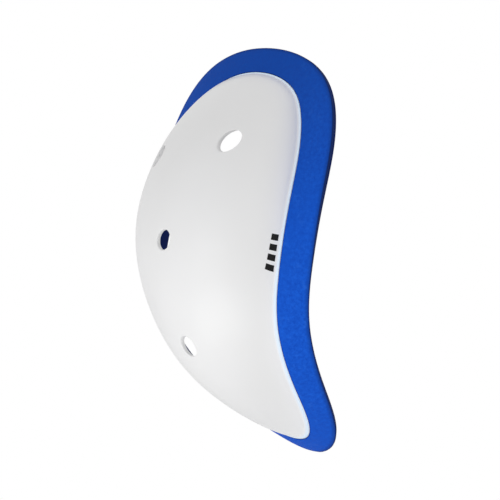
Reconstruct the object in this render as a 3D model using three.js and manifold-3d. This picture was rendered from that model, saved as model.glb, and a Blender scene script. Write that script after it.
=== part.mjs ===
// Groin protector: a hard moulded cup held in a two-layer soft rim.
// Millimetres. +X is across the wearer, -Y points away from the body, +Z is up.
import * as THREE from 'three';
import { mergeVertices } from 'three/addons/utils/BufferGeometryUtils.js';
import Module from 'manifold-3d';

// ---- Driving dimensions ----------------------------------------------------

// The rim's outer edge, seen from the front. A turn of 0 is its top and PI is its lower tip.
const RIM_HALF_HEIGHT = 77.25;
// Half width = sin(turn) * (a + b cos + c cos^2 + d cos^3 + e cos^4). A plain ellipse has only a.
const RIM_HALF_WIDTH = [49.7, 14.15, 5.5, 6.15, 4.55];
// Width of the blue band in front, as the same kind of series: broad at the sides, narrow at the tip.
const RIM_BAND = [11.05, 7.5, 0.25, -5.25, -4.05];

// Side view. Values stand at even heights, from the lower tip to the top.
const LOWEST_STATION = -77;
const STATION_STEP = 22;
const RIM_LINE = [37.5, -4.6, -26.05, -27.5, -20.25, -10.55, -4.3, -1.7];
const DOME_HEIGHT = [25.0, 13.4, 7.55, 12.9, 19.4, 21.4, 15.9, 4.5];

// The rim curls back towards the body at its sides: y grows by curl * x^2.
const LEAST_CURL = 2.49e-3;
const CURL_GROWTH = 1.81e-6;
const LEAST_CURL_Z = 47.3;

// The dome is a superellipse from its crown to its foot.
const DOME_CENTRE_Z = 15;
const FOOT_POWER = 2.95;
const CROWN_POWER = 2.05;

// Thicknesses, measured as inRim measures depth.
const SHELL_WALL = 1.8;
const CLEARANCE = 0.4;
const FRONT_LAYER = 1.3;
const TONGUE = 1.4;
const TONGUE_SPAN = 0.5;
const BACK_PAD = 1.3;
const RIM_EDGE = 2.8;
const EDGE_ROUNDING = 0.6;
const LIP_ROUNDING = 0.5;
// The pad's cuff laps the inside of the shell's mouth. It is slim at the low end and widens upwards.
const SLIM_CUFF = 0.5;
const WIDE_CUFF = 3.9;
const CUFF_WIDENS = { fromZ: -38, toZ: 8 };
const CUFF_FOOT = 2.8;
const CUFF_SLOPE = 1.6;

// Vents are cored straight through along Y.
const VENTS = [
  { x: -21.2, z: 35.6, radius: 4.4 },
  { x: 21.2, z: 35.6, radius: 4.4 },
  { x: 0, z: -0.6, radius: 3.85 },
  { x: 0, z: -39.9, radius: 3.6 },
];
const VENT_SIDES = 24;

// A flat land on the back of the pad, at the top of the rim.
const LAND = { width: 20, height: 9, z: 71.5, y: 2.0 };

const COLUMNS = 64;
const DOME_ROWS = 14;

const SHELL_WHITE = new THREE.MeshStandardMaterial({ color: 0xe2e3e5, roughness: 0.28, metalness: 0 });
const RIM_BLUE = new THREE.MeshStandardMaterial({ color: 0x1650b4, roughness: 0.7, metalness: 0 });
const PAD_NAVY = new THREE.MeshStandardMaterial({ color: 0x0c2251, roughness: 0.8, metalness: 0 });

// ---- The rim surface -------------------------------------------------------

function series(coefficients, value) {
  return coefficients.reduceRight((sum, coefficient) => sum * value + coefficient, 0);
}

// A natural cubic spline through values that stand at even heights, as a function of z.
function curveThrough(values) {
  const last = values.length - 1;
  const share = [0];
  const bend = [0];
  for (let i = 1; i < last; i++) {
    const pull = 6 * (values[i - 1] - 2 * values[i] + values[i + 1]);
    share[i] = 1 / (4 - share[i - 1]);
    bend[i] = (pull - bend[i - 1]) * share[i];
  }
  bend[last] = 0;
  for (let i = last - 1; i > 0; i--) {
    bend[i] -= share[i] * bend[i + 1];
  }
  return (z) => {
    const place = THREE.MathUtils.clamp((z - LOWEST_STATION) / STATION_STEP, 0, last - 1e-9);
    const below = Math.floor(place);
    const t = place - below;
    const s = 1 - t;
    const straight = s * values[below] + t * values[below + 1];
    return straight + ((s ** 3 - s) * bend[below] + (t ** 3 - t) * bend[below + 1]) / 6;
  };
}

const rimLine = curveThrough(RIM_LINE);
const domeHeight = curveThrough(DOME_HEIGHT);

// The rim's front face, carried on smoothly under the dome.
function rimY(x, z) {
  const curl = LEAST_CURL + CURL_GROWTH * (z - LEAST_CURL_Z) ** 2;
  return rimLine(z) + curl * x * x;
}

// ---- Outlines seen from the front (plan vectors hold x and z) --------------

function outerEdge(turn) {
  const cos = Math.cos(turn);
  return new THREE.Vector2(Math.sin(turn) * series(RIM_HALF_WIDTH, cos), RIM_HALF_HEIGHT * cos);
}

function outwards(turn) {
  const step = 1e-4;
  const along = outerEdge(turn + step).sub(outerEdge(turn - step));
  return new THREE.Vector2(-along.y, along.x).normalize();
}

function bandWidth(turn) {
  return series(RIM_BAND, Math.cos(turn));
}

// The foot of the dome, or a line so far outwards from it.
function footLine(turn, outward = 0) {
  return outerEdge(turn).addScaledVector(outwards(turn), outward - bandWidth(turn));
}

// A point in the rim: so far outwards from the foot, and at a depth behind the front face. The way
// back runs along Y at the foot, so that the mouth's sides are straight, and leans to square to the
// face at the outer edge.
function inRim(turn, outward, depth) {
  const plan = footLine(turn, outward);
  const step = 0.4;
  const slopeX = (rimY(plan.x + step, plan.y) - rimY(plan.x - step, plan.y)) / (2 * step);
  const slopeZ = (rimY(plan.x, plan.y + step) - rimY(plan.x, plan.y - step)) / (2 * step);
  const square = THREE.MathUtils.clamp(outward / bandWidth(turn), 0, 1);
  const back = new THREE.Vector3(0, 1, 0).lerp(new THREE.Vector3(-slopeX, 1, -slopeZ).normalize(), square);
  return new THREE.Vector3(plan.x, rimY(plan.x, plan.y), plan.y).addScaledVector(back, depth);
}

// ---- Meshes from rings of points -------------------------------------------

function turns() {
  return Array.from({ length: COLUMNS }, (_, i) => (2 * Math.PI * i) / COLUMNS);
}

function indexedMesh(points, triangles) {
  const geometry = new THREE.BufferGeometry();
  geometry.setAttribute('position', new THREE.Float32BufferAttribute(points.flatMap((p) => p.toArray()), 3));
  geometry.setIndex(triangles);
  return geometry;
}

function quads(from, to, columns) {
  const faces = [];
  for (let i = 0; i < columns; i++) {
    const next = (i + 1) % columns;
    faces.push(from + i, to + next, to + i, from + i, from + next, to + next);
  }
  return faces;
}

// A closed band: every section is one loop of points, and the sections run once round the rim.
function bandGeometry(section) {
  const sections = turns().map(section);
  const rows = sections[0].length;
  const points = [];
  const triangles = [];
  for (let row = 0; row < rows; row++) {
    points.push(...sections.map((loop) => loop[row]));
    triangles.push(...quads(row * COLUMNS, ((row + 1) % rows) * COLUMNS, COLUMNS));
  }
  return indexedMesh(points, triangles);
}

// A closed skin: rings of points between a first and a last single point.
function skinGeometry(first, rings, last) {
  const points = [first, ...rings.flat(), last];
  const end = points.length - 1;
  const triangles = [];
  for (let i = 0; i < COLUMNS; i++) {
    const next = (i + 1) % COLUMNS;
    triangles.push(0, 1 + next, 1 + i);
    triangles.push(end, end - COLUMNS + i, end - COLUMNS + next);
  }
  for (let row = 0; row < rings.length - 1; row++) {
    triangles.push(...quads(1 + row * COLUMNS, 1 + (row + 1) * COLUMNS, COLUMNS));
  }
  return indexedMesh(points, triangles);
}

// ---- Hard shell ------------------------------------------------------------

// A ring of the dome's outer skin. A climb of 0 is the crown and PI / 2 is the foot.
function domeRing(climb) {
  const spread = Math.sin(climb) ** (2 / FOOT_POWER);
  const rise = Math.cos(climb) ** (2 / CROWN_POWER);
  const centre = new THREE.Vector2(0, DOME_CENTRE_Z);
  return turns().map((turn) => {
    const plan = centre.clone().lerp(footLine(turn), spread);
    return new THREE.Vector3(plan.x, rimY(plan.x, plan.y) - rise * domeHeight(plan.y), plan.y);
  });
}

// The ring moved inwards by the wall, square to the skin between the rings on its two sides.
function insideRing(ring, higher, lower) {
  return ring.map((point, i) => {
    const around = ring[(i + 1) % COLUMNS].clone().sub(ring[(i + COLUMNS - 1) % COLUMNS]);
    const down = lower[i].clone().sub(higher[i]);
    return point.clone().addScaledVector(down.cross(around).normalize(), SHELL_WALL);
  });
}

function rimRing(outward, depth) {
  return turns().map((turn) => inRim(turn, outward, depth));
}

// The tongue's rim reaches half-way across the band.
function tongueRing(depth) {
  return turns().map((turn) => inRim(turn, TONGUE_SPAN * bandWidth(turn), depth));
}

function shellGeometry() {
  const crownY = rimY(0, DOME_CENTRE_Z) - domeHeight(DOME_CENTRE_Z);
  const crown = new THREE.Vector3(0, crownY, DOME_CENTRE_Z);
  const dome = [];
  for (let row = 1; row < DOME_ROWS; row++) {
    dome.push(domeRing((row * Math.PI) / 2 / DOME_ROWS));
  }
  const foot = rimRing(0, 0);
  const inside = dome.map((ring, row) => {
    const higher = row > 0 ? dome[row - 1] : ring.map(() => crown);
    return insideRing(ring, higher, dome[row + 1] ?? foot);
  });
  const tongueFront = FRONT_LAYER + CLEARANCE;
  const tongueBack = tongueFront + TONGUE;
  const flange = [
    foot,
    rimRing(0, tongueFront),
    tongueRing(tongueFront),
    tongueRing(tongueBack),
    rimRing(0, tongueBack),
    rimRing(-SHELL_WALL, tongueBack),
  ];
  const innerCrown = crown.clone().add(new THREE.Vector3(0, SHELL_WALL, 0));
  return skinGeometry(crown, [...dome, ...flange, ...inside.reverse()], innerCrown);
}

function ventTool({ x, z, radius }) {
  const length = 60;
  const middleY = -30;
  return new THREE.CylinderGeometry(radius, radius, length, VENT_SIDES).translate(x, middleY, z);
}

// ---- Soft rim --------------------------------------------------------------

// The line where both layers pass the tongue's rim.
function stepWidth(turn) {
  return TONGUE_SPAN * bandWidth(turn) + CLEARANCE;
}

function frontLayerSection(turn) {
  const band = bandWidth(turn);
  const step = stepWidth(turn);
  const at = (outward, depth) => inRim(turn, outward, depth);
  return [
    at(CLEARANCE, 0),
    at(step, 0),
    at(band - EDGE_ROUNDING, 0),
    at(band - EDGE_ROUNDING * 0.3, EDGE_ROUNDING * 0.3),
    at(band, EDGE_ROUNDING),
    at(band, FRONT_LAYER),
    at(step, FRONT_LAYER),
    at(CLEARANCE, FRONT_LAYER),
  ];
}

function cuffWidth(turn) {
  const z = RIM_HALF_HEIGHT * Math.cos(turn);
  const share = THREE.MathUtils.smoothstep(z, CUFF_WIDENS.fromZ, CUFF_WIDENS.toZ);
  return THREE.MathUtils.lerp(SLIM_CUFF, WIDE_CUFF, share);
}

// The pad steps round the tongue. Its cuff rises as a wedge, clear of the shell's leaning wall.
function backPadSection(turn) {
  const band = bandWidth(turn);
  const cuff = cuffWidth(turn);
  const shelf = FRONT_LAYER + CLEARANCE;
  const pocket = shelf + TONGUE + CLEARANCE;
  const back = pocket + BACK_PAD;
  const step = stepWidth(turn);
  const outside = -SHELL_WALL - CLEARANCE;
  const inside = outside - cuff;
  const top = Math.max(0, CUFF_FOOT - CUFF_SLOPE * cuff);
  const at = (outward, depth) => inRim(turn, outward, depth);
  return [
    at(inside + LIP_ROUNDING / 2, top),
    at(outside, CUFF_FOOT),
    at(outside, pocket),
    at(0, pocket),
    at(step, pocket),
    at(step, shelf),
    at(band, shelf),
    at(band, RIM_EDGE - LIP_ROUNDING),
    at(band - LIP_ROUNDING, RIM_EDGE),
    at(step, back),
    at(inside + LIP_ROUNDING, back),
    at(inside, back - LIP_ROUNDING),
    at(inside, top + LIP_ROUNDING),
  ];
}

function landTool() {
  const deep = 10;
  return new THREE.BoxGeometry(LAND.width, deep, LAND.height).translate(0, LAND.y + deep / 2, LAND.z);
}

// ---- Cutting ---------------------------------------------------------------

const wasm = await Module();
wasm.setup();

function solidOf(geometry) {
  const bare = geometry.clone();
  bare.deleteAttribute('normal');
  bare.deleteAttribute('uv');
  const merged = mergeVertices(bare);
  const vertProperties = new Float32Array(merged.attributes.position.array);
  const triVerts = new Uint32Array(merged.index.array);
  return new wasm.Manifold(new wasm.Mesh({ numProp: 3, vertProperties, triVerts }));
}

function cut(body, tools) {
  const solid = tools.reduce((rest, tool) => rest.subtract(solidOf(tool)), solidOf(body));
  const mesh = solid.getMesh();
  const geometry = new THREE.BufferGeometry();
  geometry.setAttribute('position', new THREE.BufferAttribute(mesh.vertProperties, 3));
  geometry.setIndex(new THREE.BufferAttribute(mesh.triVerts, 1));
  return geometry;
}

// ---- Assembly --------------------------------------------------------------

function part(name, geometry, material) {
  geometry.computeVertexNormals();
  const mesh = new THREE.Mesh(geometry, material);
  mesh.name = name;
  return mesh;
}

const protector = new THREE.Group();
protector.add(
  part('hard_shell', cut(shellGeometry(), VENTS.map(ventTool)), SHELL_WHITE),
  part('rim_front_layer', bandGeometry(frontLayerSection), RIM_BLUE),
  part('rim_back_pad', cut(bandGeometry(backPadSection), [landTool()]), PAD_NAVY),
);

// The origin is the middle of the whole protector.
const middle = new THREE.Box3().setFromObject(protector, true).getCenter(new THREE.Vector3());
protector.position.copy(middle.negate());

export default protector;
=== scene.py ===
"""Looks of the groin protector: a glossy white moulded cup in a matt blue soft rim.

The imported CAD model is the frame. Its three plain solids are each replaced by a finer mesh of the
same shape. Lengths are in millimetres until a mesh is made, and the design axes are the frame's:
+X to the wearer's left, -Y away from the body, +Z up.
"""

import math

import bpy
import numpy as np
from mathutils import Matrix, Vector
from mathutils.geometry import delaunay_2d_cdt


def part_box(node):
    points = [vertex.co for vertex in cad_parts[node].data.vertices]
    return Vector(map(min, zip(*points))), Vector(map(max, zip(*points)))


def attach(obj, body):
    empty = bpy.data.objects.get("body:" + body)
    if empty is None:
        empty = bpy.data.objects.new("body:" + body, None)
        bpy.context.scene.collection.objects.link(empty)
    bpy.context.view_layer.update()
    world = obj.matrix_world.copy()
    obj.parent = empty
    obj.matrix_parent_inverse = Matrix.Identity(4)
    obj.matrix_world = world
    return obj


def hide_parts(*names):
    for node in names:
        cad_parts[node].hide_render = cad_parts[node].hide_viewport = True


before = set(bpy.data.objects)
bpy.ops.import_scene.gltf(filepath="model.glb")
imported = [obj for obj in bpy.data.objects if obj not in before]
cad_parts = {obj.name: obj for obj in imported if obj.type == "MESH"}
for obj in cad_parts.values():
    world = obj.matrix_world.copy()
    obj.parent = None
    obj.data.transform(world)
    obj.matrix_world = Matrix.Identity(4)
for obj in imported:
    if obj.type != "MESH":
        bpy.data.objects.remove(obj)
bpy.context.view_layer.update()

MM = 0.001

# ---- Driving dimensions, as in the CAD -------------------------------------------------

# Front view. A turn of 0 is the top. The half width over the turn's sine and the width of the
# blue band are power series in the turn's cosine, lowest power first.
RIM_HALF_HEIGHT = 77.25
RIM_HALF_WIDTH = (49.7, 14.15, 5.5, 6.15, 4.55)
RIM_BAND = (11.05, 7.5, 0.25, -5.25, -4.05)

# Side view. The y of the rim's middle line and the dome's height are splines through even
# stations, lowest first.
LOWEST_STATION = -77
STATION_STEP = 22
RIM_LINE = (37.5, -4.6, -26.05, -27.5, -20.25, -10.55, -4.3, -1.7)
DOME_HEIGHT = (25.0, 13.4, 7.55, 12.9, 19.4, 21.4, 15.9, 4.5)

# The rim curls back with the square of x, least at one height.
LEAST_CURL = 2.49e-3
CURL_GROWTH = 1.81e-6
LEAST_CURL_Z = 47.3

# The dome is a superellipse over its foot line.
DOME_CENTRE_Z = 15
FOOT_POWER = 2.95
CROWN_POWER = 2.05
SHELL_WALL = 1.8

# Depths behind the rim's front face, and the share of the band that the shell's tongue spans.
TONGUE_FRONT = 1.7
TONGUE_BACK = 3.1
TONGUE_SPAN = 0.5
PAD_BACK = 4.8
RIM_EDGE = 2.8

# The pad's cuff inside the shell's mouth is slim low down and wide higher up.
SLIM_CUFF = 0.5
WIDE_CUFF = 3.9
CUFF_WIDENS_Z = (-38, 8)
CUFF_FOOT = 2.8
CUFF_SLOPE = 1.6

# Each vent's x, z and radius.
VENTS = ((-21.2, 35.6, 4.4), (21.2, 35.6, 4.4), (0.0, -0.6, 3.85), (0.0, -39.9, 3.6))

# The flat land at the top of the pad's back.
LAND_Y = 2.0
LAND_HALF_WIDTH = 10.0
LAND_LOW_Z = 60.0

# ---- Fine detail that only the looks need ----------------------------------------------

# Points round every ring, samples of the foot line that bearings use, steps of a rounded edge.
COLUMNS = 384
FOOT_SAMPLES = 2880
ROUND_STEPS = 6
SHARP_ANGLE = math.radians(50)

# The dome's middle is a patch of triangles: rings round the vents, at these distances from their
# walls, and a lattice. Its border lies at a share of the way from the centre to the foot.
PATCH_SPREAD = 0.88
PATCH_MARGIN = 0.01
LATTICE = 1.25
LATTICE_ROWS = range(-70, 80)
LATTICE_COLUMNS = range(-40, 41)
VENT_POINTS = 72
VENT_RINGS = (0.0, 0.05, 0.14, 0.28, 0.5, 0.85, 1.35, 2.1)
ON_WALL = 1e-3

# The outside edges of the vents are rounder than the inside ones. The inside skin is cored
# straight near a vent, and square to the outside skin farther off.
VENT_ROUNDING = 0.5
INNER_VENT_ROUNDING = 0.3
STRAIGHT_CORE = 0.6
CORE_BLEND = 2.4
SKIN_PASSES = 12

# The dome's side, with the least room that its rows keep above the fillet at the foot.
WALL_ROWS = 16
WALL_ROOM = 0.2
FILLET_ROWS = 7
FOOT_FILLET = 0.6
LIP_CHAMFER = 0.15

# The seam between the two soft layers, with a small step in at the edge.
LAYER_SEAM = 1.5
SEAM_GAP = 0.06
SEAM_INSET = 0.3

# The blue front layer: rounded edges, a slight crown, and how much shade is painted on its edges.
INNER_STEPS = 5
FACE_RINGS = 13
EDGE_ROUND = 0.6
INNER_ROUND = 0.4
INNER_GAP = 0.1
RIM_CROWN = 0.12
CROWN_POWER_ACROSS = 0.8
INNER_PAINTED_SHADE = 0.8
EDGE_PAINTED_SHADE = 0.3
EDGE_PAINTED_SHADE_RISE = 1.6

# The body-side pad: its pocket for the tongue, its cuff and its rounded back.
CUFF_RINGS = 5
BACK_RINGS = 15
POCKET_GAP = 0.05
POCKET_END_GAP = 0.15
CUFF_GAP = 0.1
CUFF_ROUND = 0.3
PAD_ROUND = 1.5
PAD_EDGE_ROUND = 0.5
BACK_SWELL = 1.6
LOW_THINNING = 0.8

# The printed mark: bars between two turns, low and high on the dome's side, as thin films.
MARK_FIRST_TURN = math.radians(92.2)
MARK_LAST_TURN = math.radians(103.0)
MARK_LOW = 1.2
MARK_HIGH = 3.9
MARK_BARS = 4
MARK_FILL = 0.62
MARK_ROWS = 7
MARK_COLUMNS = 5
SIDE_PASSES = 4
INK = 0.04


# ---- Shape functions -------------------------------------------------------------------

def series(coefficients, value):
    """A power series, lowest power first."""
    return sum(c * value**n for n, c in enumerate(coefficients))


def smooth_step(share):
    """A smooth rise from 0 to 1 as the share goes from 0 to 1, and level outside."""
    t = np.clip(share, 0, 1)
    return t * t * (3 - 2 * t)


def curve_through(values):
    """A natural cubic spline through values at even heights, as a function of z."""
    last = len(values) - 1
    ties = np.eye(last + 1)
    pulls = np.zeros(last + 1)
    for i in range(1, last):
        ties[i, i - 1 : i + 2] = (1, 4, 1)
        pulls[i] = 6 * (values[i - 1] - 2 * values[i] + values[i + 1])
    bend = np.linalg.solve(ties, pulls)
    heights = np.asarray(values, float)

    def curve(z):
        place = np.clip((np.asarray(z, float) - LOWEST_STATION) / STATION_STEP, 0, last - 1e-9)
        i = np.floor(place).astype(int)
        t = place - i
        s = 1 - t
        straight = s * heights[i] + t * heights[i + 1]
        return straight + ((s**3 - s) * bend[i] + (t**3 - t) * bend[i + 1]) / 6

    return curve


rim_line = curve_through(RIM_LINE)
dome_height = curve_through(DOME_HEIGHT)


def rim_y(x, z):
    """The rim's front face, carried on smoothly under the dome."""
    return rim_line(z) + (LEAST_CURL + CURL_GROWTH * (z - LEAST_CURL_Z) ** 2) * x * x


def outer_edge(turn):
    """The rim's outer edge in the front view, as x and z."""
    cos = np.cos(turn)
    return np.stack([np.sin(turn) * series(RIM_HALF_WIDTH, cos), RIM_HALF_HEIGHT * cos], -1)


def outwards(turn):
    """The outer edge's outward unit normal in the front view."""
    step = 1e-4
    along = outer_edge(turn + step) - outer_edge(turn - step)
    normal = np.stack([-along[..., 1], along[..., 0]], -1)
    return normal / np.linalg.norm(normal, axis=-1, keepdims=True)


def band_width(turn):
    """The width of the blue band, from the dome's foot to the outer edge."""
    return series(RIM_BAND, np.cos(turn))


def foot_line(turn, outward=0.0):
    """The foot of the dome in the front view, or a line so far outwards from it."""
    return outer_edge(turn) + outwards(turn) * np.asarray(outward - band_width(turn))[..., None]


def in_rim(turn, outward, depth):
    """Points so far outwards from the foot and so deep behind the rim's front face.

    The way back runs along Y at the foot and leans to square at the outer edge.
    """
    plan = foot_line(turn, outward)
    x, z = plan[..., 0], plan[..., 1]
    step = 0.4
    slope_x = (rim_y(x + step, z) - rim_y(x - step, z)) / (2 * step)
    slope_z = (rim_y(x, z + step) - rim_y(x, z - step)) / (2 * step)
    square = np.clip(outward / band_width(turn), 0, 1)
    lean = square * depth / np.sqrt(1 + slope_x**2 + slope_z**2)
    deep = depth * (1 - square) + lean
    return np.stack([x - lean * slope_x, rim_y(x, z) + deep, z - lean * slope_z], -1)


TURNS = np.linspace(0, 2 * math.pi, COLUMNS, endpoint=False)
CENTRE = np.array([0.0, DOME_CENTRE_Z])
BAND = band_width(TURNS)
FOOT = foot_line(TURNS)


def foot_radius_table():
    """Bearing from the dome's centre and distance to its foot, sorted by bearing."""
    spokes = foot_line(np.linspace(0, 2 * math.pi, FOOT_SAMPLES, endpoint=False)) - CENTRE
    bearing = np.arctan2(spokes[:, 0], spokes[:, 1])
    order = np.argsort(bearing)
    return bearing[order], np.hypot(spokes[:, 0], spokes[:, 1])[order]


BEARINGS, FOOT_RADII = foot_radius_table()


def spread_at(x, z):
    """How far out a plan point lies: 0 at the dome's centre, 1 at its foot."""
    bearing = np.arctan2(x, z - DOME_CENTRE_Z)
    radius = np.interp(bearing, BEARINGS, FOOT_RADII, period=2 * math.pi)
    return np.hypot(x, z - DOME_CENTRE_Z) / radius


def rise_at(spread):
    """Share of the dome's height that is left at a spread."""
    return np.clip(1 - spread**FOOT_POWER, 0, 1) ** (1 / CROWN_POWER)


def spread_of(rise):
    """The spread at which a share of the dome's height is left."""
    return (1 - rise**CROWN_POWER) ** (1 / FOOT_POWER)


def dome_y(x, z):
    """The dome's skin."""
    return rim_y(x, z) - rise_at(spread_at(x, z)) * dome_height(z)


def dome_normal(x, z):
    """Outward unit normals of the dome's skin, as rows of x, y, z."""
    step = 0.05
    slope_x = (dome_y(x + step, z) - dome_y(x - step, z)) / (2 * step)
    slope_z = (dome_y(x, z + step) - dome_y(x, z - step)) / (2 * step)
    normal = np.stack([slope_x, -np.ones_like(slope_x), slope_z], -1)
    return normal / np.linalg.norm(normal, axis=-1, keepdims=True)


# ---- Mesh helpers ----------------------------------------------------------------------

def ring_quads(upper, lower):
    """Quads between two closed rings of vertex numbers."""
    beyond_upper, beyond_lower = np.roll(upper, -1), np.roll(lower, -1)
    return np.stack([upper, beyond_upper, beyond_lower, lower], -1).tolist()


def quarter(count):
    """Angles of a quarter turn without its first one."""
    return np.linspace(0, math.pi / 2, count + 1)[1:]


def make_piece(name, points, faces, material, node, offset):
    """A smooth mesh piece, in metres, that rides on the root body and stands for a CAD node."""
    mesh = bpy.data.meshes.new(name)
    mesh.from_pydata(((np.asarray(points) + offset) * MM).tolist(), [], faces)
    mesh.validate()
    mesh.shade_smooth()
    mesh.set_sharp_from_angle(angle=SHARP_ANGLE)
    mesh.materials.append(material)
    piece = bpy.data.objects.new(name, mesh)
    bpy.context.scene.collection.objects.link(piece)
    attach(piece, "root")
    if node:
        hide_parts(node)
    return piece


def add_attribute(piece, name, values):
    """A value per vertex that a material reads."""
    attribute = piece.data.attributes.new(name, "FLOAT", "POINT")
    attribute.data.foreach_set("value", np.asarray(values, np.float32))


# ---- Hard shell ------------------------------------------------------------------------

def patch_points():
    """Plan points of the dome's middle: its border ring, the vents' rings, then a lattice."""
    border = CENTRE + PATCH_SPREAD * (FOOT - CENTRE)
    angles = np.linspace(0, 2 * math.pi, VENT_POINTS, endpoint=False)
    circle = np.stack([np.cos(angles), np.sin(angles)], -1)
    rings = [
        np.array([x, z]) + (radius + out) * circle
        for x, z, radius in VENTS
        for out in VENT_RINGS
    ]
    row_step = LATTICE * math.sqrt(3) / 2
    lattice = np.array([
        (LATTICE * (i + 0.5 * (row % 2)), row_step * row)
        for row in LATTICE_ROWS
        for i in LATTICE_COLUMNS
    ])
    inside = spread_at(lattice[:, 0], lattice[:, 1]) < PATCH_SPREAD - PATCH_MARGIN
    inside &= vent_gap(lattice) > VENT_RINGS[-1] + 0.5 * LATTICE
    return np.vstack([border, *rings, lattice[inside]])


def patch_faces(plan):
    """Triangles over the plan points, left open at the vents."""
    coords = [Vector((float(x), float(z))) for x, z in plan]
    made = delaunay_2d_cdt(coords, [], [], 0, 1e-6)
    triangles = np.array([[made[3][v][0] for v in face] for face in made[2]])
    middle = plan[triangles].mean(1)
    solid = vent_gap(middle) >= -ON_WALL
    solid &= spread_at(middle[:, 0], middle[:, 1]) <= PATCH_SPREAD
    return triangles[solid]


def vent_gap(plan):
    """Distance of each plan point outside the nearest vent's wall."""
    gaps = [np.hypot(plan[:, 0] - x, plan[:, 1] - z) - radius for x, z, radius in VENTS]
    return np.min(gaps, axis=0)


def rounding_drop(gap, radius):
    """How far a rounded edge falls away at a distance from the hole's wall."""
    inner = np.clip(radius - gap, 0, radius)
    return radius - np.sqrt(radius**2 - inner**2)


def outer_patch(plan):
    """The outside skin over the plan points."""
    y = dome_y(plan[:, 0], plan[:, 1]) + rounding_drop(vent_gap(plan), VENT_ROUNDING)
    return np.stack([plan[:, 0], y, plan[:, 1]], -1)


def inner_patch(plan):
    """The inside skin under the plan points: square to the dome, but cored straight at the vents."""
    free = smooth_step((vent_gap(plan) - STRAIGHT_CORE) / CORE_BLEND)
    shift = dome_normal(plan[:, 0], plan[:, 1])[:, [0, 2]] * SHELL_WALL
    target = plan - free[:, None] * shift
    source = plan
    for _ in range(SKIN_PASSES):
        source = target + dome_normal(source[:, 0], source[:, 1])[:, [0, 2]] * SHELL_WALL
    outer = np.stack([source[:, 0], dome_y(source[:, 0], source[:, 1]), source[:, 1]], -1)
    inner = outer - SHELL_WALL * dome_normal(source[:, 0], source[:, 1])
    inner[:, 1] -= rounding_drop(vent_gap(plan), INNER_VENT_ROUNDING)
    return inner


def side_plan(turn, foot, spread):
    """Plan points of the dome's side, which keeps clear of the foot by the fillet."""
    nearness = np.clip(spread - PATCH_SPREAD, 0, 1) / (1 - PATCH_SPREAD)
    inset = FOOT_FILLET * nearness[..., None] ** 2
    return CENTRE + spread[..., None] * (foot - CENTRE) - inset * outwards(turn)


def wall_rows():
    """Rings of the dome's side, from the patch's border down to the fillet at its foot."""
    rows = []
    highest = rise_at(PATCH_SPREAD)
    lowest = FOOT_FILLET / max(DOME_HEIGHT)
    for rise in np.linspace(highest, lowest, WALL_ROWS + 1)[1:]:
        plan = side_plan(TURNS, FOOT, np.full(COLUMNS, spread_of(rise)))
        height = np.maximum(rise * dome_height(plan[:, 1]), FOOT_FILLET * (1 + WALL_ROOM * rise))
        rows.append(np.stack([plan[:, 0], rim_y(plan[:, 0], plan[:, 1]) - height, plan[:, 1]], -1))
    return rows


def fillet_rows():
    """The concave fillet where the dome meets the rim."""
    rows = []
    for angle in np.linspace(0, math.pi / 2, FILLET_ROWS):
        plan = foot_line(TURNS, -FOOT_FILLET * math.cos(angle))
        lift = FOOT_FILLET * (1 - math.sin(angle))
        rows.append(np.stack([plan[:, 0], rim_y(plan[:, 0], plan[:, 1]) - lift, plan[:, 1]], -1))
    return rows


def rim_row(outward, depth):
    """A ring of points all round the rim."""
    return in_rim(TURNS, outward + np.zeros(COLUMNS), depth)


def flange_rows():
    """Rings from the foot of the dome round the tongue and back to the shell's mouth."""
    return [
        rim_row(0, 0.5 * TONGUE_FRONT),
        rim_row(0, TONGUE_FRONT),
        rim_row(TONGUE_SPAN * BAND, TONGUE_FRONT),
        rim_row(TONGUE_SPAN * BAND, TONGUE_BACK),
        rim_row(0, TONGUE_BACK),
        rim_row(LIP_CHAMFER - SHELL_WALL, TONGUE_BACK),
        rim_row(-SHELL_WALL, TONGUE_BACK - LIP_CHAMFER),
    ]


def offset_rows(rows, above, below):
    """Rings moved inwards by the wall, square to the skin."""
    moved = []
    for i, row in enumerate(rows):
        higher = rows[i - 1] if i else above
        lower = rows[i + 1] if i + 1 < len(rows) else below
        around = np.roll(row, -1, axis=0) - np.roll(row, 1, axis=0)
        inward = np.cross(lower - higher, around)
        moved.append(row + SHELL_WALL * inward / np.linalg.norm(inward, axis=1, keepdims=True))
    return moved


def foot_painted_light():
    """A painted-light weight for each ring near the foot: to 0.5 down the dome's side, where a
    painted fill lifts its shade, to 1 over the fillet, where a painted bluish highlight lies.
    """
    side = [0.5 * (i / WALL_ROWS) ** 2 for i in range(WALL_ROWS)]
    return side + [0.5 + 0.5 * i / (FILLET_ROWS - 1) for i in range(FILLET_ROWS)]


def shell_faces(patch, count, ring_count):
    """Faces of the shell: two skins of count points each, the rings between, the vents' walls."""
    faces = [*patch.tolist(), *(count + patch[:, ::-1]).tolist()]
    border = np.arange(COLUMNS)
    numbers = [2 * count + i * COLUMNS + border for i in range(ring_count)]
    numbers = [border, *numbers, count + border]
    for upper, lower in zip(numbers, numbers[1:]):
        faces += ring_quads(upper, lower)
    for vent in range(len(VENTS)):
        ring = COLUMNS + vent * len(VENT_RINGS) * VENT_POINTS + np.arange(VENT_POINTS)
        faces += ring_quads(ring, count + ring)
    return faces


def shell_mesh():
    """Points and faces of the hard shell, and each point's nearness to the foot, which weighs the
    painted light there.
    """
    plan = patch_points()
    outer = outer_patch(plan)
    walls = wall_rows()
    fillet = fillet_rows()
    inside = offset_rows(walls, outer[:COLUMNS], fillet[0])
    rings = [*walls, *fillet, *flange_rows(), *inside[::-1]]
    points = np.vstack([outer, inner_patch(plan), *rings])
    nearness = np.repeat(foot_painted_light(), COLUMNS)
    # Painted-light weights, zero away from the foot.
    foot = np.zeros(len(points))
    foot[2 * len(plan) :][: len(nearness)] = nearness
    return points, shell_faces(patch_faces(plan), len(plan), len(rings)), foot


# ---- Soft rim --------------------------------------------------------------------------

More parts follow.
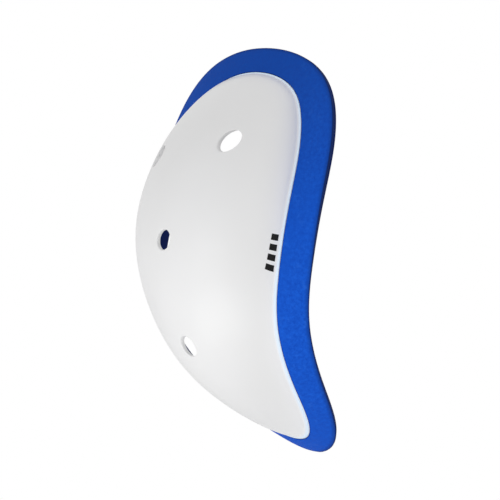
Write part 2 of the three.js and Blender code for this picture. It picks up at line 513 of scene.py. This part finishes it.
def band_mesh(rings):
    """A closed band from one loop of rings; each ring holds a point for every turn."""
    faces = []
    for i in range(len(rings)):
        upper = i * COLUMNS + np.arange(COLUMNS)
        lower = ((i + 1) % len(rings)) * COLUMNS + np.arange(COLUMNS)
        faces += ring_quads(upper, lower)
    return np.vstack(rings), faces


def across(first, last, count):
    """Ring positions spread across the band, each with its share of the way."""
    return [(share, first + share * (last - first)) for share in np.linspace(0, 1, count)]


def front_layer_rings():
    """Loop of the blue front layer, with how much shade is painted on each ring."""
    rings = []
    shade = []
    for angle in quarter(INNER_STEPS) - 0.5 * math.pi / INNER_STEPS:
        deep = INNER_ROUND * (1 - math.sin(angle))
        rings.append(rim_row(INNER_GAP + INNER_ROUND * (1 - math.cos(angle)), deep))
        shade.append(INNER_PAINTED_SHADE * math.cos(angle))
    for share, outward in across(INNER_GAP + INNER_ROUND, BAND - EDGE_ROUND, FACE_RINGS):
        crown = RIM_CROWN * math.sin(math.pi * share) ** CROWN_POWER_ACROSS
        rings.append(rim_row(outward, -crown))
        shade.append(EDGE_PAINTED_SHADE if share == 1 else 0.0)
    for angle in quarter(ROUND_STEPS):
        deep = EDGE_ROUND * (1 - math.cos(angle))
        rings.append(rim_row(BAND - EDGE_ROUND * (1 - math.sin(angle)), deep))
        shade.append(min(1.0, EDGE_PAINTED_SHADE + EDGE_PAINTED_SHADE_RISE * (1 - math.cos(angle))))
    back = [
        rim_row(BAND, LAYER_SEAM - 2 * SEAM_GAP),
        rim_row(BAND - SEAM_INSET, LAYER_SEAM),
        rim_row(0.5 * BAND, LAYER_SEAM),
        rim_row(INNER_GAP, LAYER_SEAM),
    ]
    return rings + back, shade + [1.0] * len(back)


def widening(turn):
    """How far the pad has grown from its slim low end, 0, to its full width, 1."""
    low, high = CUFF_WIDENS_Z
    return smooth_step((RIM_HALF_HEIGHT * np.cos(turn) - low) / (high - low))


def cuff_rings(inside, outside, top):
    """The cuff's rounded inner edge, then its slope down to the inside of the shell's mouth."""
    rings = []
    for angle in np.linspace(-math.pi / 2, 0, ROUND_STEPS):
        out = CUFF_ROUND * (1 + math.sin(angle))
        down = CUFF_ROUND * (1 - math.cos(angle))
        rings.append(rim_row(inside + out, top + down))
    crest = inside + CUFF_ROUND
    for share in np.linspace(0, 1, CUFF_RINGS)[1:]:
        rings.append(rim_row(crest + share * (outside - crest), top + share * (CUFF_FOOT - top)))
    return rings


def pocket_rings(outside):
    """Round the shell's tongue, out along the seam and down the rim's edge."""
    pocket = TONGUE_BACK + POCKET_GAP
    pocket_end = TONGUE_SPAN * BAND + POCKET_END_GAP
    seam = LAYER_SEAM + SEAM_GAP
    return [
        rim_row(outside, pocket),
        rim_row(0, pocket),
        rim_row(pocket_end, pocket),
        rim_row(pocket_end, seam),
        rim_row(BAND - SEAM_INSET, seam),
        rim_row(BAND, LAYER_SEAM + 3 * SEAM_GAP),
        rim_row(BAND, RIM_EDGE - PAD_EDGE_ROUND),
    ]


def pad_back_rings(inside, back, top):
    """Round the rim's edge, in over the back and round the pad's inner lip."""
    rings = []
    for angle in quarter(ROUND_STEPS):
        inward = PAD_EDGE_ROUND * (1 - math.cos(angle))
        rings.append(rim_row(BAND - inward, RIM_EDGE - PAD_EDGE_ROUND * (1 - math.sin(angle))))
    for share, outward in across(BAND - PAD_EDGE_ROUND, inside + PAD_ROUND, BACK_RINGS)[1:]:
        swell = math.sin(0.5 * math.pi * min(1, BACK_SWELL * share))
        rings.append(rim_row(outward, RIM_EDGE + (back - RIM_EDGE) * swell))
    for angle in quarter(ROUND_STEPS):
        from_lip = PAD_ROUND * (1 - math.sin(angle))
        rings.append(rim_row(inside + from_lip, back - PAD_ROUND * (1 - math.cos(angle))))
    rings.append(rim_row(inside, 0.5 * (back - PAD_ROUND + top + CUFF_ROUND)))
    return rings


def back_pad_rings():
    """Loop of the body-side pad: round the tongue, and up inside the shell's mouth."""
    growth = widening(TURNS)
    cuff = SLIM_CUFF + (WIDE_CUFF - SLIM_CUFF) * growth
    back = PAD_BACK - LOW_THINNING * (1 - growth)
    outside = -SHELL_WALL - CUFF_GAP
    inside = outside - cuff
    top = np.maximum(0, CUFF_FOOT - CUFF_SLOPE * cuff)
    rings = cuff_rings(inside, outside, top) + pocket_rings(outside)
    return rings + pad_back_rings(inside, back, top)


def flatten_land(points):
    """The pad's points, with its back cut flat at the top."""
    x, y, z = points[:, 0], points[:, 1], points[:, 2]
    near = (np.abs(x) < LAND_HALF_WIDTH) & (z > LAND_LOW_Z)
    points[near, 1] = np.minimum(y[near], LAND_Y)
    return points


# ---- Size mark -------------------------------------------------------------------------

def wall_point(turn, lift):
    """A point on the dome's side at a height above the rim's front face."""
    foot = foot_line(turn)
    spread = np.ones_like(turn)
    for _ in range(SIDE_PASSES):
        plan = CENTRE + spread[..., None] * (foot - CENTRE)
        spread = spread_of(lift / dome_height(plan[..., 1]))
    plan = side_plan(turn, foot, spread)
    y = rim_y(plan[..., 0], plan[..., 1]) - lift
    return np.stack([plan[..., 0], y, plan[..., 1]], -1)


def film_points(start, span):
    """Inner points, then outer points, of one bar's thin film on the shell."""
    turns, lifts = np.meshgrid(
        start + np.linspace(0, span, MARK_COLUMNS),
        np.linspace(MARK_LOW, MARK_HIGH, MARK_ROWS),
    )
    skin = wall_point(turns, lifts)
    step = 1e-3
    along = wall_point(turns + step, lifts) - skin
    up = wall_point(turns, lifts + step) - skin
    inward = np.cross(along, up)
    inward /= np.linalg.norm(inward, axis=-1, keepdims=True)
    return np.stack([skin + INK * inward, skin - INK * inward]).reshape(-1, 3)


def film_faces(first):
    """Faces of one closed film whose inner points start at a number."""
    count = MARK_ROWS * MARK_COLUMNS
    inner = first + np.arange(count).reshape(MARK_ROWS, MARK_COLUMNS)
    corners = [inner[:-1, :-1], inner[:-1, 1:], inner[1:, 1:], inner[1:, :-1]]
    quads = np.stack(corners, -1).reshape(-1, 4)
    edge = np.concatenate([inner[0, :-1], inner[:-1, -1], inner[-1, :0:-1], inner[:0:-1, 0]])
    sides = ring_quads(edge + count, edge)
    return [*quads.tolist(), *(quads[:, ::-1] + count).tolist(), *sides]


def mark_mesh():
    """Plain printed bars beside the rim, as thin films on the shell."""
    points, faces = [], []
    pitch = (MARK_LAST_TURN - MARK_FIRST_TURN) / (MARK_BARS - 1 + MARK_FILL)
    for bar in range(MARK_BARS):
        film = film_points(MARK_FIRST_TURN + bar * pitch, MARK_FILL * pitch)
        faces += film_faces(bar * len(film))
        points.append(film)
    return np.vstack(points), faces


# ---- Materials -------------------------------------------------------------------------

# Linear colours. A pair is mixed by noise.
SHELL_WHITES = ((0.70, 0.70, 0.70), (0.73, 0.73, 0.735))
# Painted light: a lighter white that lifts the shade on the dome's side near the foot.
SHELL_PAINTED_FILL_LIGHT = (0.86, 0.865, 0.875)
# Painted highlight: a bluish line on the fillet at the foot, a painted reflection of the rim.
SHELL_FOOT_PAINTED_HIGHLIGHT = (0.66, 0.82, 1.0)
RIM_BLUES = ((0.001, 0.058, 0.44), (0.008, 0.105, 0.62))
RIM_FLECK = (0.03, 0.17, 0.72)
RIM_CLOUD = (0.004, 0.075, 0.49)
# Painted shade towards the rim's top.
RIM_PAINTED_TOP_SHADE = (0.003, 0.045, 0.27)
# Painted shade at the rim's edges.
RIM_EDGE_PAINTED_SHADE = (0.002, 0.014, 0.09)
PAD_NAVIES = ((0.001, 0.007, 0.065), (0.002, 0.012, 0.095))
INK_BLACKS = ((0.004, 0.004, 0.004), (0.012, 0.012, 0.013))
FLOOR_WHITES = ((0.82, 0.82, 0.82), (0.85, 0.85, 0.85))

# Painted shade: the rim grows darker from the middle of the object to this height, in metres, by
# this share, where less light falls on it.
RIM_PAINTED_TOP_SHADE_Z = 0.075
RIM_PAINTED_TOP_SHADE_SHARE = 0.75


def new_material(name):
    """A material, with its nodes, its links and its surface shader."""
    material = bpy.data.materials.new(name)
    material.use_nodes = True
    nodes = material.node_tree.nodes
    return material, nodes, material.node_tree.links, nodes["Principled BSDF"]


def noise(nodes, links, scale, detail=3.0, roughness=0.5, stretch=(1, 1, 1)):
    """Noise in the object's own metres."""
    place = nodes.new("ShaderNodeTexCoord")
    mapping = nodes.new("ShaderNodeMapping")
    mapping.inputs["Scale"].default_value = stretch
    texture = nodes.new("ShaderNodeTexNoise")
    texture.inputs["Scale"].default_value = scale
    texture.inputs["Detail"].default_value = detail
    texture.inputs["Roughness"].default_value = roughness
    links.new(place.outputs["Object"], mapping.inputs["Vector"])
    links.new(mapping.outputs["Vector"], texture.inputs["Vector"])
    return texture.outputs["Fac"]


def remap(nodes, links, value, low, high, from_low=0.3, from_high=0.7):
    """A value stretched to a new range; most noise lies between the default bounds."""
    node = nodes.new("ShaderNodeMapRange")
    node.inputs["From Min"].default_value = from_low
    node.inputs["From Max"].default_value = from_high
    node.inputs["To Min"].default_value = low
    node.inputs["To Max"].default_value = high
    links.new(value, node.inputs["Value"])
    return node.outputs["Result"]


def blend_colours(nodes, links, factor, first, second):
    """Mix of two colours, each a tuple or another node's output."""
    node = nodes.new("ShaderNodeMix")
    node.data_type = "RGBA"
    links.new(factor, node.inputs["Factor"])
    for name, colour in (("A", first), ("B", second)):
        socket = [s for s in node.inputs if s.name == name and s.type == "RGBA"][0]
        if isinstance(colour, tuple):
            socket.default_value = (*colour, 1)
        else:
            links.new(colour, socket)
    return [s for s in node.outputs if s.type == "RGBA"][0]


def blend_by_noise(nodes, links, texture, pair):
    """The two colours of a pair, mixed by noise."""
    return blend_colours(nodes, links, remap(nodes, links, texture, 0, 1), *pair)


def add_bump(nodes, links, surface, heights):
    """Chained bumps; each height is (value, distance in metres, strength)."""
    previous = None
    for value, distance, strength in heights:
        bump = nodes.new("ShaderNodeBump")
        bump.inputs["Distance"].default_value = distance
        bump.inputs["Strength"].default_value = strength
        links.new(value, bump.inputs["Height"])
        if previous is not None:
            links.new(previous, bump.inputs["Normal"])
        previous = bump.outputs["Normal"]
    links.new(previous, surface.inputs["Normal"])


def read_attribute(nodes, name):
    """A value that a mesh carries per vertex."""
    node = nodes.new("ShaderNodeAttribute")
    node.attribute_name = name
    return node.outputs["Fac"]


def shell_material():
    """White injection-moulded plastic with a soft gloss; a painted fill lightens its side near the
    foot, and a painted bluish highlight, a reflection of the rim, lines the fillet where it meets
    the rim.
    """
    material, nodes, links, surface = new_material("shell_white")
    colour = blend_by_noise(nodes, links, noise(nodes, links, 18, detail=2), SHELL_WHITES)
    foot = read_attribute(nodes, "foot")
    # The foot attribute paints light: a fill on the side near the foot, then a bluish highlight over
    # the fillet.
    side = remap(nodes, links, foot, 0, 1, 0.0, 0.5)
    colour = blend_colours(nodes, links, side, colour, SHELL_PAINTED_FILL_LIGHT)
    fillet = remap(nodes, links, foot, 0, 1, 0.5, 1.0)
    colour = blend_colours(nodes, links, fillet, colour, SHELL_FOOT_PAINTED_HIGHLIGHT)
    links.new(colour, surface.inputs["Base Color"])
    smear = noise(nodes, links, 60, detail=4, stretch=(1, 1, 0.3))
    links.new(remap(nodes, links, smear, 0.3, 0.4), surface.inputs["Roughness"])
    peel = noise(nodes, links, 500, detail=1)
    waves = noise(nodes, links, 55, detail=1)
    add_bump(nodes, links, surface, [(peel, 0.00002, 0.25), (waves, 0.0001, 0.12)])
    surface.inputs["IOR"].default_value = 1.46
    surface.inputs["Subsurface Weight"].default_value = 0.08
    surface.inputs["Subsurface Radius"].default_value = (1, 1, 1)
    surface.inputs["Subsurface Scale"].default_value = 0.0015
    return material


def rim_material():
    """Matt blue soft moulding with a faint mottle, with painted shade towards its top and at its
    edges.
    """
    material, nodes, links, surface = new_material("rim_blue")
    mottle = noise(nodes, links, 700, detail=4, roughness=0.7)
    colour = blend_by_noise(nodes, links, mottle, RIM_BLUES)
    fleck = remap(nodes, links, noise(nodes, links, 420, detail=2), 0, 0.35, 0.6, 0.78)
    colour = blend_colours(nodes, links, fleck, colour, RIM_FLECK)
    cloud = remap(nodes, links, noise(nodes, links, 35, detail=2), 0, 0.5)
    colour = blend_colours(nodes, links, cloud, colour, RIM_CLOUD)
    place = nodes.new("ShaderNodeTexCoord")
    split = nodes.new("ShaderNodeSeparateXYZ")
    links.new(place.outputs["Object"], split.inputs["Vector"])
    # Painted shade: darker towards the top.
    height = remap(nodes, links, split.outputs["Z"], 0, RIM_PAINTED_TOP_SHADE_SHARE, 0.0, RIM_PAINTED_TOP_SHADE_Z)
    colour = blend_colours(nodes, links, height, colour, RIM_PAINTED_TOP_SHADE)
    # The edge attribute paints shade: a contact shadow along the inner edge, and shade round the
    # outer edge and the back.
    colour = blend_colours(nodes, links, read_attribute(nodes, "edge"), colour, RIM_EDGE_PAINTED_SHADE)
    links.new(colour, surface.inputs["Base Color"])
    links.new(remap(nodes, links, mottle, 0.62, 0.78), surface.inputs["Roughness"])
    grain = noise(nodes, links, 1400, detail=3, roughness=0.6)
    add_bump(nodes, links, surface, [(grain, 0.00008, 0.35), (mottle, 0.0001, 0.3)])
    surface.inputs["Specular IOR Level"].default_value = 0.08
    return material


def pad_material():
    """Dark blue closed-cell pad: fine open pores and a dry surface."""
    material, nodes, links, surface = new_material("pad_navy")
    place = nodes.new("ShaderNodeTexCoord")
    pores = nodes.new("ShaderNodeTexVoronoi")
    pores.inputs["Scale"].default_value = 1500
    links.new(place.outputs["Object"], pores.inputs["Vector"])
    cloud = noise(nodes, links, 90, detail=4)
    links.new(blend_by_noise(nodes, links, cloud, PAD_NAVIES), surface.inputs["Base Color"])
    add_bump(nodes, links, surface, [(pores.outputs["Distance"], 0.0002, 0.4), (cloud, 0.0004, 0.2)])
    surface.inputs["Roughness"].default_value = 0.85
    surface.inputs["Specular IOR Level"].default_value = 0.12
    return material


def ink_material():
    """Black print with a slightly patchy gloss."""
    material, nodes, links, surface = new_material("print_black")
    patchy = noise(nodes, links, 900, detail=3)
    links.new(blend_by_noise(nodes, links, patchy, INK_BLACKS), surface.inputs["Base Color"])
    links.new(remap(nodes, links, patchy, 0.4, 0.6), surface.inputs["Roughness"])
    add_bump(nodes, links, surface, [(patchy, 0.00002, 0.3)])
    surface.inputs["Specular IOR Level"].default_value = 0.15
    return material


def floor_material():
    """Pale matt floor."""
    material, nodes, links, surface = new_material("floor_pale")
    dust = noise(nodes, links, 3, detail=2)
    links.new(blend_by_noise(nodes, links, dust, FLOOR_WHITES), surface.inputs["Base Color"])
    surface.inputs["Roughness"].default_value = 0.9
    return material


# ---- Studio, in metres -----------------------------------------------------------------

CAMERA_AZIMUTH = math.radians(49.94)
CAMERA_ELEVATION = math.radians(-8.0)
CAMERA_DISTANCE = 0.9615
LENS = 180
SHIFT = (0.0068, -0.0046)
FLOOR_Z = -0.165
FLOOR_HALF = 6.0
WORLD_LEVEL = 0.89

# Each light's name, place, target, diameter and power.
LIGHTS = (
    ("front", (0.05, -0.45, -0.13), (0, 0, -0.03), 0.3, 0.3),
    ("rear", (0.8, 0.6, 0.2), (0, 0, 0), 0.6, 1.7),
    ("low", (0.02, -0.13, -0.15), (0, 0, -0.05), 0.15, 0.125),
)


def add_camera(target):
    """The camera looks from the wearer's front left, slightly from below."""
    a, e = CAMERA_AZIMUTH, CAMERA_ELEVATION
    back = Vector((math.sin(a) * math.cos(e), -math.cos(a) * math.cos(e), math.sin(e)))
    data = bpy.data.cameras.new("camera")
    data.lens = LENS
    data.shift_x, data.shift_y = SHIFT
    camera = bpy.data.objects.new("camera", data)
    camera.rotation_mode = "QUATERNION"
    camera.location = target + back * CAMERA_DISTANCE
    camera.rotation_quaternion = (-back).to_track_quat("-Z", "Y")
    bpy.context.scene.collection.objects.link(camera)
    bpy.context.scene.camera = camera


def add_light(name, location, target, size, power):
    """A round area light that faces its target."""
    data = bpy.data.lights.new(name, "AREA")
    data.shape = "DISK"
    data.size = size
    data.energy = power
    light = bpy.data.objects.new(name, data)
    light.location = location
    light.rotation_mode = "QUATERNION"
    light.rotation_quaternion = (Vector(target) - Vector(location)).to_track_quat("-Z", "Y")
    bpy.context.scene.collection.objects.link(light)


def add_floor():
    """A large pale floor under the object."""
    half = FLOOR_HALF
    corners = [(-half, -half), (half, -half), (half, half), (-half, half)]
    mesh = bpy.data.meshes.new("floor")
    mesh.from_pydata([(x, y, FLOOR_Z) for x, y in corners], [], [(0, 1, 2, 3)])
    mesh.materials.append(floor_material())
    floor = bpy.data.objects.new("floor", mesh)
    bpy.context.scene.collection.objects.link(floor)


def add_world():
    """White backdrop for the camera; a slightly dimmer, even dome for the light."""
    world = bpy.data.worlds.new("studio")
    bpy.context.scene.world = world
    world.use_nodes = True
    nodes, links = world.node_tree.nodes, world.node_tree.links
    nodes.clear()
    light = nodes.new("ShaderNodeBackground")
    light.inputs["Color"].default_value = (1, 1, 1, 1)
    light.inputs["Strength"].default_value = WORLD_LEVEL
    backdrop = nodes.new("ShaderNodeBackground")
    backdrop.inputs["Color"].default_value = (1, 1, 1, 1)
    path = nodes.new("ShaderNodeLightPath")
    mix = nodes.new("ShaderNodeMixShader")
    links.new(path.outputs["Is Camera Ray"], mix.inputs["Fac"])
    links.new(light.outputs["Background"], mix.inputs[1])
    links.new(backdrop.outputs["Background"], mix.inputs[2])
    output = nodes.new("ShaderNodeOutputWorld")
    links.new(mix.outputs["Shader"], output.inputs["Surface"])


# ---- Assembly --------------------------------------------------------------------------

shell_points, shell_polygons, shell_painted_light = shell_mesh()
shell_low, shell_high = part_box("hard_shell")
cad_middle = np.array((shell_low + shell_high) / 2) / MM
drawn_middle = (shell_points.min(0) + shell_points.max(0)) / 2
OFFSET = cad_middle - drawn_middle

shell = make_piece(
    "shell", shell_points, shell_polygons, shell_material(), "hard_shell", OFFSET
)
# The foot attribute weighs the shell's painted light near the foot.
add_attribute(shell, "foot", shell_painted_light)

front_rings, front_shade = front_layer_rings()
front_points, front_faces = band_mesh(front_rings)
rim = make_piece(
    "rim_front", front_points, front_faces, rim_material(), "rim_front_layer", OFFSET
)
# The edge attribute carries painted shade: a contact shadow at the inner edge, and shade round the
# outer edge.
add_attribute(rim, "edge", np.repeat(front_shade, COLUMNS))

pad_points, pad_faces = band_mesh(back_pad_rings())
pad_points = flatten_land(pad_points)
make_piece("rim_back", pad_points, pad_faces, pad_material(), "rim_back_pad", OFFSET)

mark_points, mark_faces = mark_mesh()
make_piece("size_mark", mark_points, mark_faces, ink_material(), None, OFFSET)

add_camera(Vector(OFFSET * MM))
add_floor()
add_world()
for light in LIGHTS:
    add_light(*light)
bpy.context.scene.view_settings.view_transform = "Standard"
